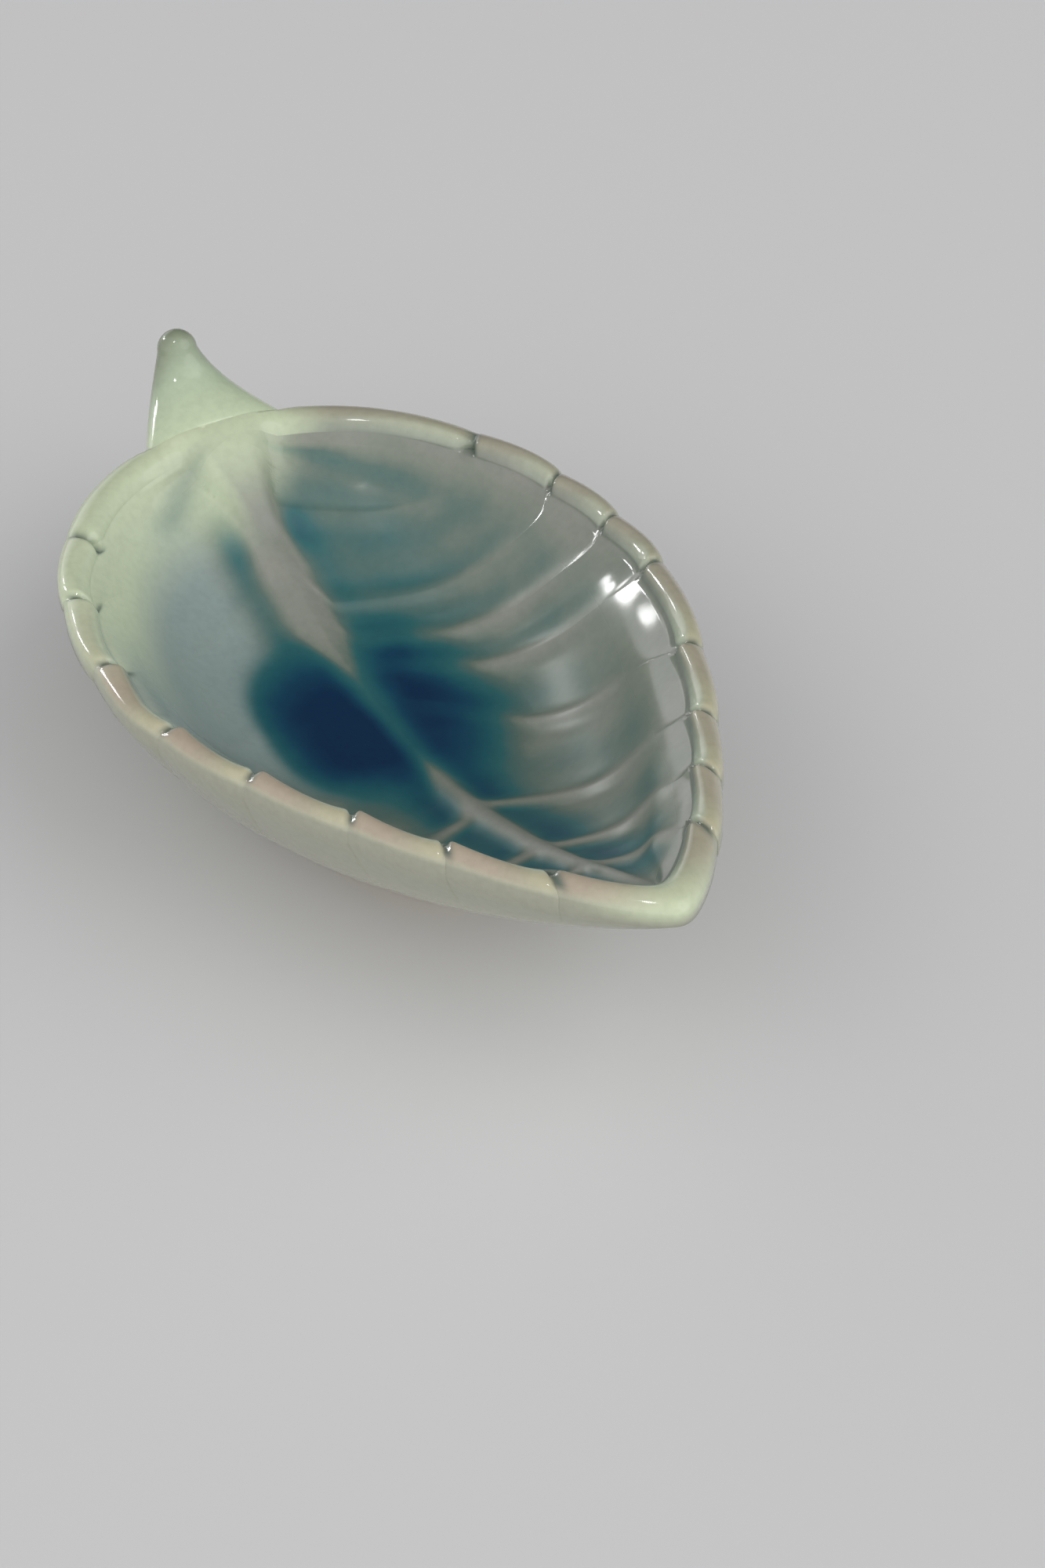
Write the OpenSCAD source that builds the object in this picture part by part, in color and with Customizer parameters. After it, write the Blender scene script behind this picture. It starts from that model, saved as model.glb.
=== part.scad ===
// Leaf-shaped ring dish of glazed stoneware. The base of the leaf lies towards -X and its tip towards +X.
// The origin is on the table, under the middle of the dish's bounding box.

/* [Leaf] */
// Length of the leaf from its base to its tip, without the stem
blade_l = 102; // [85:0.5:125]
// Width of the leaf at its widest
blade_w = 60.5; // [50:0.5:72]
// Distance from the base to the widest place
widest_x = 43; // [34:0.5:50]
// Height of the lip above the table at the widest place
lip_z = 22.5; // [19:0.1:28]
// How much higher the lip stands at the tip
tip_rise = 5.2; // [2:0.1:10]
// How much lower the lip stands at the base
base_drop = 1.5; // [0:0.1:3]

/* [Shell] */
// Thickness of the clay, glaze included
wall = 3; // [2.4:0.1:3.8]
// Width of the lip at the tip
tip_lip_w = 5; // [4:0.1:7]
// Width of the lip at the base
base_lip_w = 4.5; // [3.8:0.1:6]
// Height of the floor above the table at its lowest place
floor_z = 6.9; // [6:0.1:9]
// Distance from the base to the lowest place of the floor
low_x = 45; // [38:0.1:54]
// How squarely the side walls turn up from the floor
wall_turn = 3.8; // [2.8:0.1:5]
// Width of the smooth band that flares out from the wall to the lip
band_w = 4.2; // [2.5:0.1:5.5]
// How far the band climbs on its way out to the lip
band_h = 2.8; // [1.6:0.1:4]

/* [Veins] */
// Height of the midrib above the floor
midrib_h = 0.9; // [0.4:0.1:1.4]
// Width of the midrib at the base
midrib_w = 4.4; // [3:0.1:6]
// Width of the midrib at the tip
midrib_tip_w = 1.2; // [0.8:0.1:2.4]
// Height of the side veins
vein_h = 0.5; // [0.2:0.05:0.8]
// Width of the side veins, along the leaf
vein_w = 1.9; // [1.2:0.1:3]
// Depth of the groove on each side of a vein
groove_d = 0.3; // [0.1:0.05:0.5]
// Width of that groove, along the leaf
groove_w = 2.4; // [1.6:0.1:3.4]
// How far the lobes of the lip bulge between the notches
lobe_d = 0.9; // [0.2:0.1:1.4]
// Depth of the notches across the lip
notch_d = 1.1; // [0.4:0.1:1.4]

/* [Stem] */
// How far the stem reaches out past the base
stem_reach = 9.4; // [6:0.1:13]
// Height of the stem's end above the table
stem_z = 28; // [25:0.1:33]
// Width of the stem at its root
stem_root_w = 17; // [12:0.5:18]
// Width of the stem at its end
stem_end_w = 4.4; // [3:0.1:6]
// Thickness of the stem at its root
stem_root_h = 4.4; // [3.6:0.1:4.8]
// How far the top of its root stands above the lip
stem_rise = 0.8; // [0:0.1:1.4]
// Depth of the flat that the stem is luted to
stem_flat = 2.5; // [2:0.1:3]
// How far the stem's clay runs down from that flat into the bowl
drape_l = 12.5; // [9:0.5:15]

/* [Foot] */
// Length of the oval foot ring
foot_l = 38; // [28:0.5:44]
// Width of the oval foot ring
foot_w = 21; // [17:0.5:24]
// Thickness of the foot ring's wall
foot_t = 3; // [2:0.1:4]
// Gap of dried slip between the foot ring and the shell
slip = 0.06; // [0.04:0.01:0.1]

/* [Glaze pools] */
// Height of the dark glass's level top above the floor at its lowest place
pool_h = 1.5; // [0.6:0.1:2.2]
// Depth of the dark glass at its edge
pool_edge = 0.15; // [0.1:0.05:0.3]

/* [Hidden] */

LEFT = 1;
RIGHT = -1;
// Where the veins leave the midrib, from base to tip, as shares of the leaf's length
left_from = [0.03, 0.07, 0.2, 0.26, 0.31, 0.38, 0.5, 0.69, 0.84, 0.97];
right_from = [0.03, 0.04, 0.07, 0.15, 0.3, 0.47, 0.63, 0.765, 0.855, 0.97];
// Where they end below the lip
left_to = [0, 0.2, 0.31, 0.4, 0.487, 0.632, 0.755, 0.85, 0.94, 1];
right_to = [0, 0.12, 0.215, 0.36, 0.489, 0.608, 0.735, 0.823, 0.922, 1];
// Where the notches cut the lip
left_notch = [0, 0.158, 0.274, 0.374, 0.473, 0.632, 0.751, 0.839, 0.922, 1];
right_notch = [0, 0.12, 0.225, 0.35, 0.489, 0.608, 0.726, 0.823, 0.922, 1];
// How high each vein stands, as a share of the veins' height: thick glaze fills the right side near the base
left_height = [1, 1, 1, 1, 1, 1, 1, 1, 1, 1];
right_height = [0.3, 0.3, 0.3, 0.3, 0.3, 0.3, 1, 1, 1, 1];
// Rows of points from the midrib to the lip, as shares of the half-width, inside the bowl and below it
inner_rows = [0, 0.035, 0.07, 0.12, 0.2, 0.3, 0.41, 0.52, 0.62, 0.71, 0.79, 0.84, 0.88, 0.93, 1];
outer_rows = [0, 0.12, 0.24, 0.36, 0.48, 0.6, 0.72, 0.83, 0.92, 1];
// Columns of points along a lobe, from one vein to the next, and closer ones along the lobe at the base
steps = [0, 0.07, 0.16, 0.27, 0.42, 0.58, 0.73, 0.84, 0.93];
base_steps = [for (i = [0 : 11]) i * 0.08];
// Directions of the points over the rounded lip, from its inner to its outer edge
lip_arc = [160, 130, 100, 70, 40, 10];

// Shape of the outline: how much and how fast the tip narrows, how blunt it ends, and how full the base is
tip_taper = 0.89;
tip_power = 1.57;
blunt_power = 20;
base_power = 2.25;
base_fullness = 0.46;
// How fast the lip rises to the tip and falls to the base
tip_rise_power = 1.1;
base_drop_power = 1.2;
// How fast the floor climbs to the tip and to the base
tip_climb = 1.72;
base_climb = 2.37;
// Rounding where the wall turns out into the band, as shares of the wall's and the band's width
wall_round = 0.08;
band_round = 0.25;

// Width of a notch as a share of a lobe
notch_share = 0.07;
// How strongly the veins sweep towards the tip, and how late the columns leave them for the notches
sweep_power = 1.4;
leave_power = 16;
// Share of the half-width beside the midrib where the veins of the two sides part
part_share = 0.12;
// How much of the lobes' bulge the outer edge has, and how far the crest leans with the bulge
outer_bulge = 0.6;
crest_lean = 0.6;
// How much of a bevel the lip's inner side is: 1 leaves it round
lip_bevel = 1.7;

// Where the veins rise beside the midrib and how far that takes, as shares of the half-width
vein_start = 0.05;
vein_start_over = 0.1;
// Share of the half-width where they are gone below the lip, how late they fade, and the same share of the
// length at the tip
vein_end = 0.88;
vein_fade_power = 10;
tip_fade = 0.1;
// How high a lobe swells, how late it falls to the next notch, and how far it lies in at a notch
swell_rise = 1.6;
swell_late = 0.45;
swell_in = 0.5;
// How close to the lip the bulge of the lobes starts on the faces below it
bulge_power = 6;

lobes = len(left_from) - 1;
lip_r = wall / 2;
// How far below the lip's middle the outer face starts
under_lip = lip_r * 0.7;
widest = widest_x / blade_l;
inner_l = blade_l - base_lip_w - tip_lip_w;
inner_half_w = blade_w / 2 - wall;
low = (low_x - base_lip_w) / inner_l;

// The stem's thickening in the middle, how fast it narrows and where it turns up, as a share of its reach
stem_belly_h = 0.8;
stem_narrowing = 1.1;
stem_bend = 0.6;
// Its numbers of rings and sides
stem_steps = 14;
stem_sides = 28;
// Directions of the rings over its rounded end
stem_caps = [25, 50, 75];
// The clay that the stem lays over the lip: how fast it narrows and drops, how far it falls away to its
// sides, how round it is across, and how softly it runs into the bowl
drape_narrowing = 2.5;
drape_drop = 1.5;
drape_fall = 2;
drape_power = 3.5;
drape_blend = 0.6;

// Rounding of the foot ring's lower edges, as a share of its thickness, and the angle between its sections
foot_edge = 0.15;
foot_turn = 7.5;
// Lobes and rows of points that the glaze pools cover
pool_columns = [3, 6];
pool_rows = [1, 7];

// x where it is above 0, and 0 where it is below, with the corner rounded over a width w
function soft(x, w) = (x + sqrt(x * x + w * w)) / 2;

// Bell of height 1 that is half as high at a distance of w / 2
function bell(x, w) = pow(2, -pow(2 * x / w, 2));

// Half-width of a leaf of half-width 1 at share s of its length: a round base, a long taper and a blunt tip
function leaf_shape(s) =
    let (t = min(1, (s - widest) / (1 - widest)))
    t >= 0 ? (1 - tip_taper * pow(t, tip_power)) * sqrt(1 - pow(t, blunt_power))
           : pow(max(0, 1 - pow((widest - s) / widest, base_power)), base_fullness);

// Height of the lip's top at share s
function lip_top(s) =
    lip_z + (s >= widest ? tip_rise * pow((s - widest) / (1 - widest), tip_rise_power)
                         : -base_drop * pow((widest - s) / widest, base_drop_power));

// Height of a face along the midrib at share s: bottom at its lowest, and drop below the lip's middle at
// both ends
function keel(s, bottom, drop) =
    let (t = s >= low ? (s - low) / (1 - low) : (low - s) / low,
         end = lip_top(s >= low ? 1 : 0) - lip_r - drop)
    bottom + (end - bottom) * pow(t, s >= low ? tip_climb : base_climb);

// Height of the outer face at share v of the half-width
function outside(s, v) =
    let (k = keel(s, floor_z - wall, under_lip))
    k + (lip_top(s) - lip_r - under_lip - k) * pow(v, wall_turn);

// Height of the inner face: the wall turns up from the floor, and a band flares out from it to the lip
function inside(s, v) =
    let (k = keel(s, floor_z, 0),
         rim = lip_top(s) - lip_r,
         rise = min(band_h, (rim - k) / 2),
         start = max(0.5, 1 - band_w / max(0.01, inner_half_w * leaf_shape(s))),
         up = max(0, 1 - soft(1 - v / start, wall_round)),
         out = soft((v - start) / (1 - start), band_round))
    k + (rim - rise - k) * pow(up, wall_turn) + rise * out;

// The place in list at q, where whole numbers are its entries
function along(list, q) =
    let (i = min(floor(q), len(list) - 2))
    list[i] + (list[i + 1] - list[i]) * (q - i);

function vein_from(side) = side == LEFT ? left_from : right_from;
function vein_to(side) = side == LEFT ? left_to : right_to;
function vein_share(side, q) = along(side == LEFT ? left_height : right_height, q);
function notches(side) = side == LEFT ? left_notch : right_notch;

// Share of the length where column q meets the lip, evened out along the curve of the outline
function lip_share(side, q) =
    let (turn = [for (n = notches(side)) acos(1 - 2 * n)])
    (1 - cos(along(turn, q))) / 2;

// 1 on a notch, falling off over a share w of a lobe, and none at the base and tip
function near_notch(q, w) =
    let (k = round(q))
    k < 1 || k > lobes - 1 ? 0 : bell(q - k, w);

// Distance along the leaf from column q to its nearest vein at row v
function vein_distance(side, q, v) =
    let (pitch_from = along(vein_from(side), min(q + 0.5, lobes)) - along(vein_from(side), max(q - 0.5, 0)),
         pitch_to = along(vein_to(side), min(q + 0.5, lobes)) - along(vein_to(side), max(q - 0.5, 0)),
         pitch = pitch_from + (pitch_to - pitch_from) * pow(v, sweep_power))
    abs(q - min(lobes - 1, max(1, round(q)))) * pitch * inner_l;

// Saw-toothed swell of a lobe: slow to rise from the notch on its base side, quick to fall at the next.
// The lobes at the base and the tip run on over the ends of the leaf.
function swell(q) =
    let (t = q - floor(q))
    q <= 1 ? -swell_in * pow(q, 3)
    : q >= lobes - 1 ? -swell_in * pow(lobes - q, 3)
    : swell_rise * t * pow(1 - t, swell_late) - swell_in;

// Height of the midrib and the side veins over the floor at column q, share v, y across. Each vein has a
// groove on both sides, and fades out below the lip and at the tip.
function relief(side, q, s, v, y) =
    let (rib = midrib_h * bell(y, midrib_w + (midrib_tip_w - midrib_w) * s),
         beside_rib = min(1, max(0, (v - vein_start) / vein_start_over)),
         d = vein_distance(side, q, v),
         groove = groove_d * bell(d - (vein_w + groove_w) / 2, groove_w),
         vein = (vein_h * bell(d, vein_w) - groove) * vein_share(side, q),
         fade = (1 - pow(min(1, v / vein_end), vein_fade_power)) * min(1, (1 - s) / tip_fade))
    (rib + beside_rib * vein) * fade;

// Share of the length at row v of column q. The column leaves the midrib between the places of the two
// sides, runs along its own vein, which sweeps towards the tip, and ends at its notch.
function sweep_share(side, q, v) =
    let (own = along(vein_from(side), q),
         shared = (along(left_from, q) + along(right_from, q)) / 2,
         from = shared + (own - shared) * min(1, v / part_share),
         to = along(vein_to(side), q))
    from + (to - from) * pow(v, sweep_power) + (lip_share(side, q) - to) * pow(v, leave_power);

// Place in plan of a face's point: the face starts at x0, is len_x long and half_w wide on each side
function face_place(side, q, v, x0, len_x, half_w) =
    [x0 + len_x * sweep_share(side, q, v), side * v * half_w * leaf_shape(lip_share(side, q))];

// Share of the half-width at a place y across, where the face is half_w wide
function across(s, y, half_w) = min(1, abs(y) / max(0.01, half_w * leaf_shape(s)));

function inner_point(side, q, v) =
    let (p = face_place(side, q, v, base_lip_w, inner_l, inner_half_w),
         s = sweep_share(side, q, v),
         z = inside(s, across(s, p.y, inner_half_w)) + relief(side, q, s, v, p.y))
    draped([p.x, p.y, z] + lobe(side, q) * pow(v, bulge_power));

function outer_point(side, q, v) =
    let (p = face_place(side, q, v, 0, blade_l, blade_w / 2),
         s = sweep_share(side, q, v),
         z = outside(s, across(s, p.y, blade_w / 2)),
         c = [p.x, p.y, z] + lobe(side, q) * outer_bulge * pow(v, bulge_power))
    [max(c.x, stem_flat), c.y, c.z];

// Edges of the lip in plan, the way out across it, and its bulge
function lip_inner(side, q) =
    let (s = lip_share(side, q))
    [base_lip_w + inner_l * s, side * inner_half_w * leaf_shape(s), lip_top(s) - lip_r];
function lip_outer(side, q) =
    let (s = lip_share(side, q))
    [blade_l * s, side * blade_w / 2 * leaf_shape(s), lip_top(s) - lip_r];
function lip_out(side, q) =
    let (d = lip_outer(side, q) - lip_inner(side, q))
    d / norm(d);
function lobe(side, q) = lip_out(side, q) * lobe_d * swell(q);

// A point over the rounded lip: its crest leans with the bulge, and the notch cuts deepest on the inner side
function lip_point(side, q, turn) =
    let (a = lip_inner(side, q),
         b = lip_outer(side, q),
         outer = (1 + cos(turn)) / 2,
         left = 1 - notch_d / lip_r * near_notch(q, notch_share) * (1 - outer),
         over = (cos(turn) + crest_lean * swell(q) * pow(sin(turn), 2)) * left,
         height = lip_r * pow(sin(turn), turn > 90 ? lip_bevel : 1) * left,
         p = (a + b) / 2 + (b - a) / 2 * over + [0, 0, height]
             + lobe(side, q) * (1 + (outer_bulge - 1) * outer))
    draped([max(p.x, stem_flat), p.y, p.z]);

// Height of the clay that the stem lays over the lip and down into the bowl, at a place in plan
drape_z = lip_top(0) + stem_rise;
function drape_top(x, y) =
    let (t = min(1, (x - stem_flat) / drape_l),
         end = keel((stem_flat + drape_l - base_lip_w) / inner_l, floor_z, 0) + midrib_h,
         half_w = midrib_w / 2 + (stem_root_w - midrib_w) / 2 * pow(1 - t, drape_narrowing))
    drape_z - (drape_z - end) * pow(t, drape_drop) - drape_fall * pow(abs(y) / half_w, drape_power);

// A point of the bowl, raised where that clay lies over it
function draped(p) =
    let (end_fade = min(1, max(0, 4 * (1 - (p.x - stem_flat) / drape_l))))
    p + [0, 0, soft(drape_top(p.x, p.y) - p.z, drape_blend) * end_fade];

// One section of the shell, from the midrib over the lip to the underside's middle
function section(side, q) = concat(
    [for (v = inner_rows) inner_point(side, q, v)],
    [for (turn = lip_arc) lip_point(side, q, turn)],
    [for (i = [len(outer_rows) - 1 : -1 : 0]) outer_point(side, q, outer_rows[i])]);

columns = concat(base_steps, [for (k = [1 : lobes - 1], t = steps) k + t], [lobes]);
shell = [for (side = [LEFT, RIGHT]) [for (q = columns) section(side, q)]];
last_row = len(shell[0][0]) - 1;
last_column = len(columns) - 1;

// The whole dish in its own plan, and the middle of its bounding box
stem_rings = concat(
    [for (i = [0 : stem_steps]) stem_ring(i / stem_steps)],
    [for (cap = stem_caps) stem_ring(1, cap)]);
all_points = concat([for (part = shell, column = part, p = column) p], [for (ring = stem_rings, p = ring) p]);
function middle_of(values) = (min(values) + max(values)) / 2;
middle = [for (axis = [0, 1]) middle_of([for (p = all_points) p[axis]])];

module centred() {
    translate([-middle.x, -middle.y, 0]) children();
}

// The two triangles of a grid's cell, turned over on the right side so that both face outwards
function cell(a, b, c, d, side) = side == LEFT ? [[a, b, c], [a, c, d]] : [[c, b, a], [d, c, a]];

// The same for the shell's cell at column i and row j, split so that no triangle lies in the midrib's plane
function shell_cell(i, j, a, b, c, d, side) =
    (i < last_column / 2) == (j < last_row / 2) ? cell(a, b, c, d, side) : cell(b, c, d, a, side);

// Number of a shell point: both sides share the midrib, the underside's middle and the two end columns
function shell_id(side, i, j) =
    let (between = last_row - 1, per_side = (last_column - 1) * between)
    j == 0 ? i
    : j == last_row ? last_column + 1 + i
    : i == 0 ? 2 * (last_column + 1) + j - 1
    : i == last_column ? 2 * (last_column + 1) + between + j - 1
    : 2 * (last_column + 1 + between) + (side == LEFT ? 0 : per_side) + (i - 1) * between + j - 1;

module leaf_bowl() {
    points = concat(
        [for (i = [0 : last_column]) shell[0][i][0]],
        [for (i = [0 : last_column]) shell[0][i][last_row]],
        [for (i = [0, last_column], j = [1 : last_row - 1]) shell[0][i][j]],
        [for (k = [0, 1], i = [1 : last_column - 1], j = [1 : last_row - 1]) shell[k][i][j]]);
    faces = [for (side = [LEFT, RIGHT], i = [0 : last_column - 1], j = [0 : last_row - 1],
                  f = shell_cell(i, j, shell_id(side, i, j), shell_id(side, i, j + 1),
                                 shell_id(side, i + 1, j + 1), shell_id(side, i + 1, j), side)) f];
    color("#7f9c93") centred() polyhedron(points, faces, convexity = 8);
}

// Middle of the stem at share t of its length, on a curve that leaves the root level and turns up
function stem_middle(t) =
    let (root_z = drape_z + soft(-stem_rise, drape_blend) - stem_root_h / 2,
         root = [stem_flat, 0, root_z],
         bend = [-stem_reach * stem_bend, 0, root_z],
         end = [-stem_reach + stem_end_w / 2, 0, stem_z - stem_end_w / 2])
    root * pow(1 - t, 2) + bend * 2 * t * (1 - t) + end * pow(t, 2);

// A ring of the stem: wide and flat at the root, round at the end, and shrunk by cap on the rounded end
function stem_ring(t, cap = 0) =
    let (ahead = stem_middle(t + 0.01) - stem_middle(t - 0.01),
         way = t == 0 ? [-1, 0, 0] : ahead / norm(ahead),
         up = [-way.z, 0, way.x] * -1,
         r = stem_end_w / 2,
         half_w = r + (stem_root_w / 2 - r) * pow(1 - t, stem_narrowing),
         half_h = r + (stem_root_h / 2 - r) * pow(1 - t, 2) + stem_belly_h * sin(180 * pow(t, 0.7)),
         at = stem_middle(t) + way * r * sin(cap))
    [for (a = [0 : 360 / stem_sides : 359])
        at + up * half_h * cos(cap) * sin(a) + [0, half_w * cos(cap) * cos(a), 0]];

// Skin over rings of points, closed by a fan at both ends, or joined into a loop
module skin(rings, loop = false) {
    n = len(rings[0]);
    count = len(rings);
    sides = [for (k = [0 : loop ? count - 1 : count - 2], i = [0 : n - 1],
                  f = cell(k * n + i, k * n + (i + 1) % n,
                           (k + 1) % count * n + (i + 1) % n, (k + 1) % count * n + i, LEFT)) f];
    ends = loop ? [] : [[for (i = [n - 1 : -1 : 0]) i], [for (i = [0 : n - 1]) (count - 1) * n + i]];
    polyhedron([for (r = rings, p = r) p], concat(sides, ends), convexity = 6);
}

module stem() {
    color("#8fae8c") centred() skin(stem_rings);
}

// Height of the shell's underside at a place in plan
function underside(x, y) =
    let (s = x / blade_l)
    outside(s, across(s, y, blade_w / 2));

// A section of the foot ring at angle a: level below with rounded edges, and its top along the underside
function foot_section(a) =
    let (way = [cos(a), sin(a)],
         out = [foot_l / 2 * way.x, foot_w / 2 * way.y],
         in = [(foot_l / 2 - foot_t) * way.x, (foot_w / 2 - foot_t) * way.y],
         low_out = out * (1 - foot_edge) + in * foot_edge,
         low_in = in * (1 - foot_edge) + out * foot_edge,
         edge_z = foot_edge * foot_t,
         corners = [[low_in, 0], [low_out, 0], [out, edge_z], [out, -1], [in, -1], [in, edge_z]])
    [for (corner = corners)
        let (c = [low_x, 0] + corner[0])
        [c.x, c.y, corner[1] < 0 ? underside(c.x, c.y) - slip : corner[1]]];

module foot_ring() {
    color("#b9ab94") centred() skin([for (a = [0 : foot_turn : 359]) foot_section(a)], loop = true);
}

// Dark glass that settled beside the midrib: it lies on the shell's own cells, with a level top in the middle
module pool(k) {
    i0 = len([for (q = columns) if (q < pool_columns[0]) q]);
    j0 = pool_rows[0];
    ni = len(steps) * (pool_columns[1] - pool_columns[0]) + 1;
    nj = pool_rows[1] - j0 + 1;
    floor_points = [for (i = [0 : ni - 1], j = [0 : nj - 1]) shell[k][i0 + i][j0 + j]];
    top_points = [for (i = [0 : ni - 1], j = [0 : nj - 1])
        let (p = shell[k][i0 + i][j0 + j],
             room = max(0, floor_z + pool_h - pool_edge - p.z))
        p + [0, 0, pool_edge + room * sqrt(sin(180 * i / (ni - 1)) * sin(180 * j / (nj - 1)))]];
    side = k == 0 ? LEFT : RIGHT;
    n = ni * nj;
    flats = [for (i = [0 : ni - 2], j = [0 : nj - 2], level = [0, 1],
                  f = shell_cell(i0 + i, j0 + j, level * n + i * nj + j, level * n + i * nj + j + 1,
                                 level * n + (i + 1) * nj + j + 1, level * n + (i + 1) * nj + j,
                                 level == 1 ? side : -side)) f];
    border = concat([for (j = [0 : nj - 2]) j],
                    [for (i = [0 : ni - 2]) i * nj + nj - 1],
                    [for (j = [nj - 1 : -1 : 1]) (ni - 1) * nj + j],
                    [for (i = [ni - 1 : -1 : 1]) i * nj]);
    walls = [for (b = [0 : len(border) - 1], p = border[b], q = border[(b + 1) % len(border)],
                  f = cell(p, q, q + n, p + n, side)) f];
    color("#12394f") centred()
        polyhedron(concat(floor_points, top_points), concat(flats, walls), convexity = 4);
}

module pool_left() {
    pool(0);
}

module pool_right() {
    pool(1);
}

leaf_bowl();
stem();
foot_ring();
pool_left();
pool_right();
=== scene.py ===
# %% [markdown]
# A leaf-shaped ring dish of glazed stoneware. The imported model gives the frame: every piece made here lies where
# the solid that it stands for lies, in metres. The shapes come from the same formulas as the solids, worked out
# on a much finer grid. The glaze rounds what it covers, so here the veins stand up to half a millimetre lower
# than on the clay, and the lobes' bulge ends higher up the wall.

# %% Load the frame
import math
import bpy
import numpy as np
from mathutils import Matrix, Vector


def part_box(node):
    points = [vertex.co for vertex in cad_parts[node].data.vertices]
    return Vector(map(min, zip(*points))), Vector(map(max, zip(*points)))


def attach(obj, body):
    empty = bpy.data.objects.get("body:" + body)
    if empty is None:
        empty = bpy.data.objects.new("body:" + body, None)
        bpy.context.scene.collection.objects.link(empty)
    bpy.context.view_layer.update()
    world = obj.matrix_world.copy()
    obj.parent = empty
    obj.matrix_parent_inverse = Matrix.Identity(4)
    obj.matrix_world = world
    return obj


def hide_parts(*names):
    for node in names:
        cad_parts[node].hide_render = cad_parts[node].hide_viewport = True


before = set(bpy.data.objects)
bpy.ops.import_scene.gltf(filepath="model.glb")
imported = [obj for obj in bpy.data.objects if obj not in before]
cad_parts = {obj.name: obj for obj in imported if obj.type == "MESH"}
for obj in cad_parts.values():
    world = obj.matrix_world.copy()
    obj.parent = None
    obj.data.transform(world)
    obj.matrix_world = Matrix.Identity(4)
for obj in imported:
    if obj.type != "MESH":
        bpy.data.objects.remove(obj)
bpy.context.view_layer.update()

# %% [markdown]
# The leaf is drawn by a few sizes in millimetres: its length and width, the height of its lip, the thickness of
# its wall, and how high the veins stand. The veins leave the midrib at chosen shares of the length, by turns on
# the left and the right, and the notches cut the lip at shares of their own.

# %% Sizes of the leaf, in millimetres
BLADE_L, BLADE_W, WIDEST_X = 102.0, 60.5, 43.0
LIP_Z, TIP_RISE, BASE_DROP = 22.5, 5.2, 1.5
WALL, TIP_LIP_W, BASE_LIP_W = 3.0, 5.0, 4.5
FLOOR_Z, LOW_X, WALL_TURN = 6.9, 45.0, 3.8
BAND_W, BAND_H = 4.2, 2.8
MIDRIB_H, MIDRIB_W, MIDRIB_TIP_W = 0.9, 4.4, 1.2
VEIN_H, VEIN_W, GROOVE_D, GROOVE_W = 0.5, 1.9, 0.3, 2.4
LOBE_D, NOTCH_D, NOTCH_SHARE = 0.9, 1.1, 0.07
STEM_REACH, STEM_Z, STEM_ROOT_W, STEM_END_W = 9.4, 28.0, 17.0, 4.4
STEM_ROOT_H, STEM_RISE, STEM_FLAT, STEM_BELLY_H = 4.4, 0.8, 2.5, 0.8
DRAPE_L, DRAPE_FALL, DRAPE_BLEND = 12.5, 2.0, 0.6
POOL_H = 1.38
LEFT, RIGHT = 1, -1
VEIN_FROM = {LEFT: [0.03, 0.07, 0.2, 0.26, 0.31, 0.38, 0.61, 0.765, 0.85, 0.97],
             RIGHT: [0.03, 0.04, 0.07, 0.15, 0.3, 0.47, 0.63, 0.765, 0.855, 0.97]}
VEIN_TO = {LEFT: [0, 0.2, 0.31, 0.4, 0.487, 0.632, 0.755, 0.85, 0.94, 1],
           RIGHT: [0, 0.12, 0.215, 0.36, 0.489, 0.608, 0.735, 0.823, 0.922, 1]}
NOTCHES = {LEFT: [0, 0.158, 0.274, 0.374, 0.473, 0.632, 0.751, 0.839, 0.922, 1],
           RIGHT: [0, 0.12, 0.225, 0.35, 0.489, 0.608, 0.726, 0.823, 0.922, 1]}
VEIN_SHARE = {LEFT: [0.2, 0.2, 0.45, 0.5, 0.55, 0.6, 0.6, 0.6, 0.5, 0.5],
              RIGHT: [0.05, 0.05, 0.05, 0.1, 0.2, 0.3, 0.5, 0.5, 0.5, 0.5]}
LIP_BEVEL = 1.7
LOBES = len(NOTCHES[LEFT]) - 1
LIP_R = WALL / 2
UNDER_LIP = LIP_R * 0.7
WIDEST = WIDEST_X / BLADE_L
INNER_L = BLADE_L - BASE_LIP_W - TIP_LIP_W
INNER_HALF_W = BLADE_W / 2 - WALL
LOW = (LOW_X - BASE_LIP_W) / INNER_L

# The leaf is drawn from its base, and the frame's origin lies under the middle of the whole dish.
bowl_low, bowl_high = (np.array(corner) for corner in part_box("leaf_bowl"))
MIDDLE = np.array([STEM_FLAT - bowl_low[0] * 1000, 0.0, 0.0])
print("base of the leaf lies at", -MIDDLE)

# %% [markdown]
# The outline is a round base that runs into a long taper with a blunt tip. The floor is a curve along the midrib
# that climbs to the lip at both ends. Each cross-section turns up steeply, and then flares out in a smooth band
# below the lip.

# %% Formulas of the leaf
def soft(x, w):
    """x where it is positive and 0 where it is negative, the corner rounded over w: half of x + sqrt(x2 + w2)."""
    return (x + np.sqrt(x * x + w * w)) / 2


def smooth(x, low, high):
    """Smooth step from 0 at low to 1 at high."""
    t = np.clip((x - low) / (high - low), 0, 1)
    return t * t * (3 - 2 * t)


def bell(x, w):
    """Bell of height 1 that is w wide at half its height: 2 to the power of -(2x / w) squared."""
    return 2.0 ** -((2 * x / w) ** 2)


def leaf_shape(s):
    """Half-width at share s of the length, 1 at the widest: a full round base, then a taper cut blunt."""
    t = np.clip((s - WIDEST) / (1 - WIDEST), 0, 1)
    tip = (1 - 0.89 * t ** 1.57) * np.sqrt(1 - t ** 20)
    base = np.maximum(0, 1 - np.clip((WIDEST - s) / WIDEST, 0, 1) ** 2.25) ** 0.46
    return np.where(s >= WIDEST, tip, base)


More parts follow.
